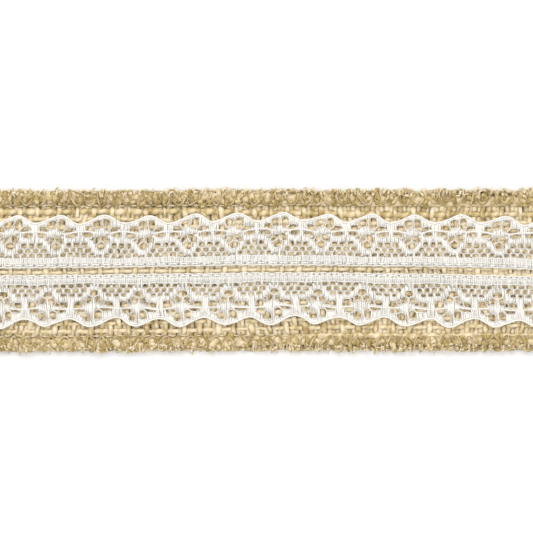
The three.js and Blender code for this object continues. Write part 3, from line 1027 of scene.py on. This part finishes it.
class RunnerLace(PropertyGroup):
    """The lace strips' motif and threads."""

    repeat: FloatProperty(
        name="Scallop", description="Length of one scallop", default=13.8 * MM, unit="LENGTH"
    )
    far_phase: FloatProperty(
        name="Far phase", description="Middle of a scallop, far strip", default=4.2 * MM, unit="LENGTH"
    )
    near_phase: FloatProperty(
        name="Near phase", description="Middle of a scallop, near strip",
        default=1.8 * MM, unit="LENGTH",
    )
    far_skew: FloatProperty(
        name="Far skew", description="Shift of the net, far strip", default=-1.1 * MM, unit="LENGTH"
    )
    near_skew: FloatProperty(
        name="Near skew", description="Shift of the net, near strip", default=0.25 * MM, unit="LENGTH"
    )
    thread: FloatProperty(
        name="Thread", description="Half-width of a filling thread", default=0.335 * MM, unit="LENGTH"
    )
    columns: IntProperty(
        name="Columns", description="Filling threads in one scallop", default=24, min=6
    )
    leg_steps: IntProperty(
        name="Leg steps", description="Path points of a filling thread", default=3, min=2
    )
    rim_steps: IntProperty(
        name="Rim steps", description="Path points round an opening", default=10, min=6
    )


class RunnerSeams(PropertyGroup):
    """The lockstitch that holds the lace."""

    stitch: FloatProperty(name="Stitch", description="Stitch length", default=3.4 * MM, unit="LENGTH")
    thread: FloatProperty(name="Thread", description="Half-width", default=0.17 * MM, unit="LENGTH")
    steps: IntProperty(name="Steps", description="Path points in a stitch", default=8, min=4)


class RunnerOverlock(PropertyGroup):
    """The overlocked edges."""

    stitch: FloatProperty(name="Stitch", description="Stitch length", default=3.9 * MM, unit="LENGTH")
    thread: FloatProperty(name="Thread", description="Half-width", default=0.25 * MM, unit="LENGTH")
    steps: IntProperty(name="Steps", description="Path points in a stitch", default=16, min=8)
    tuft_pitch: FloatProperty(
        name="Tuft spacing", description="Distance between frayed ends", default=1.3 * MM, unit="LENGTH"
    )
    tuft_fibres: IntProperty(name="Tuft fibres", description="Fibres in a frayed end", default=5, min=1)


class RunnerFinish(PropertyGroup):
    """Colours, before each thread's own variation and the painted light and shade of its tint."""

    jute_dark: FloatVectorProperty(
        name="Dark jute", description="Deepest shade",
        default=(0.46, 0.33, 0.11), subtype="COLOR", min=0, max=1,
    )
    jute_middle: FloatVectorProperty(
        name="Middle jute", description="Mean shade",
        default=(0.7, 0.54, 0.27), subtype="COLOR", min=0, max=1,
    )
    jute_light: FloatVectorProperty(
        name="Light jute", description="Palest shade",
        default=(0.89, 0.76, 0.53), subtype="COLOR", min=0, max=1,
    )
    overlock_share: FloatProperty(
        name="Overlocking", description="Its brightness against the cloth's",
        default=0.9, subtype="FACTOR",
    )
    # Partly painted shade: greys the loose strands in the gaps towards the shaded table seen through
    # them.
    loose_grey_and_painted_shade: FloatProperty(
        name="Loose fibres", description="How grey the fibres in the gaps are",
        default=0.22, subtype="FACTOR",
    )
    lace_colour: FloatVectorProperty(
        name="Lace", description="The lace yarn",
        default=(0.88, 0.85, 0.79), subtype="COLOR", min=0, max=1,
    )
    sewing_colour: FloatVectorProperty(
        name="Sewing", description="The sewing thread",
        default=(0.92, 0.91, 0.89), subtype="COLOR", min=0, max=1,
    )


class RunnerStage(PropertyGroup):
    """The view and the light."""

    view_width: FloatProperty(
        name="View width", description="Stretch of runner in view", default=164.5 * MM, unit="LENGTH"
    )
    view_rise: FloatProperty(
        name="View rise", description="View centre beyond the runner's middle",
        default=1.23 * MM, unit="LENGTH",
    )
    sun: FloatProperty(name="Key light", description="Strength of the soft sun", default=1.05, min=0)
    sky: FloatProperty(name="Fill light", description="Strength of the even fill", default=1.12, min=0)


# ---- Operators ----

FLOOR_HALF = 6.0
FLOOR_GAP = 0.05 * MM  # air between the floor and the runner's underside
SUN_SOFTNESS = math.radians(40)
SUN_TURN = (math.radians(-42), 0, math.radians(14))


class RUNNER_OT_burlap(Operator):
    """Weave the burlap cloth, with its loose fibres"""

    bl_idname = "runner.burlap"
    bl_label = "Weave burlap"

    def execute(self, context):
        settings = context.scene.runner_weave
        pieces = weave_burlap(settings)
        loose_plies(settings)
        loose_fibres(settings)
        return {"FINISHED"}


class RUNNER_OT_lace(Operator):
    """Lay the two lace strips with their headings facing each other"""

    bl_idname = "runner.lace"
    bl_label = "Lay lace"

    def execute(self, context):
        settings = context.scene.runner_lace
        strips = ((1, "far_lace", settings.far_phase, 2), (-1, "near_lace", settings.near_phase, 5))
        for side, name, phase, seed in strips:
            filling, rims, cords = make_lace(side, name, phase, settings, seed)
        return {"FINISHED"}


class RUNNER_OT_seams(Operator):
    """Sew each lace strip down through its heading"""

    bl_idname = "runner.seams"
    bl_label = "Sew seams"

    def execute(self, context):
        for side, name in ((1, "far_lace"), (-1, "near_lace")):
            lockstitch(side, context.scene.runner_seams, name)
        return {"FINISHED"}


class RUNNER_OT_overlock(Operator):
    """Overlock the four edges"""

    bl_idname = "runner.overlock"
    bl_label = "Overlock edges"

    def execute(self, context):
        settings = context.scene.runner_overlock
        edges = ("far_edge", "near_edge", "right_end", "left_end")
        for number, edge in enumerate(edges):
            overlock(edge, settings, 400 + 20 * number)
            fibres = frayed_ends(edge, settings, 500 + number)
            make_piece(f"{edge}_frayed_ends", [fibres], jute("burlap_jute"), ["burlap_cloth"])
        return {"FINISHED"}


class RUNNER_OT_stage(Operator):
    """Set the floor, the light and the camera straight above the runner"""

    bl_idname = "runner.stage"
    bl_label = "Set stage"

    def execute(self, context):
        scene = context.scene
        settings = scene.runner_stage
        half = FLOOR_HALF
        mesh = bpy.data.meshes.new("studio_floor")
        corners = [(-half, -half, 0), (half, -half, 0), (half, half, 0), (-half, half, 0)]
        mesh.from_pydata(corners, [], [(0, 1, 2, 3)])
        mesh.materials.append(floor_material())
        floor = bpy.data.objects.new("studio_floor", mesh)
        floor.location.z = -FLOOR_GAP
        scene.collection.objects.link(floor)

        lamp = bpy.data.lights.new("key_light", "SUN")
        lamp.energy = settings.sun
        lamp.angle = SUN_SOFTNESS
        key = bpy.data.objects.new("key_light", lamp)
        key.rotation_euler = SUN_TURN
        scene.collection.objects.link(key)

        world = bpy.data.worlds.new("studio")
        world.use_nodes = True
        sky = world.node_tree.nodes["Background"]
        sky.inputs["Color"].default_value = (1.0, 1.0, 1.0, 1.0)
        sky.inputs["Strength"].default_value = settings.sky
        scene.world = world

        lens = bpy.data.cameras.new("camera")
        lens.type = "ORTHO"
        lens.ortho_scale = settings.view_width
        camera = bpy.data.objects.new("camera", lens)
        camera.location = (0, settings.view_rise, 1.0)
        scene.collection.objects.link(camera)
        scene.camera = camera
        scene.view_settings.view_transform = "Standard"
        return {"FINISHED"}


class RUNNER_PT_panel(Panel):
    """The runner's operators and their settings"""

    bl_idname = "RUNNER_PT_panel"
    bl_label = "Table runner"
    bl_space_type = "VIEW_3D"
    bl_region_type = "UI"
    bl_category = "Table runner"

    def draw(self, context):
        scene = context.scene
        groups = (
            ("runner.burlap", scene.runner_weave),
            ("runner.lace", scene.runner_lace),
            ("runner.seams", scene.runner_seams),
            ("runner.overlock", scene.runner_overlock),
            ("runner.stage", scene.runner_stage),
        )
        for operator, settings in groups:
            box = self.layout.box()
            box.operator(operator)
            for name in settings.__annotations__:
                box.prop(settings, name)
        box = self.layout.box()
        for name in scene.runner_finish.__annotations__:
            box.prop(scene.runner_finish, name)


SETTINGS = (
    ("runner_weave", RunnerWeave),
    ("runner_lace", RunnerLace),
    ("runner_seams", RunnerSeams),
    ("runner_overlock", RunnerOverlock),
    ("runner_finish", RunnerFinish),
    ("runner_stage", RunnerStage),
)
OPERATORS = (
    RUNNER_OT_stage,
    RUNNER_OT_burlap,
    RUNNER_OT_lace,
    RUNNER_OT_seams,
    RUNNER_OT_overlock,
)


def register():
    for name, group in SETTINGS:
        bpy.utils.register_class(group)
        setattr(bpy.types.Scene, name, PointerProperty(type=group))
    for operator in OPERATORS:
        bpy.utils.register_class(operator)
    bpy.utils.register_class(RUNNER_PT_panel)


def unregister():
    bpy.utils.unregister_class(RUNNER_PT_panel)
    for operator in reversed(OPERATORS):
        bpy.utils.unregister_class(operator)
    for name, group in reversed(SETTINGS):
        delattr(bpy.types.Scene, name)
        bpy.utils.unregister_class(group)


def main():
    register()
    bpy.ops.runner.stage()
    bpy.ops.runner.burlap()
    bpy.ops.runner.lace()
    bpy.ops.runner.seams()
    bpy.ops.runner.overlock()


if __name__ == "__main__":
    main()
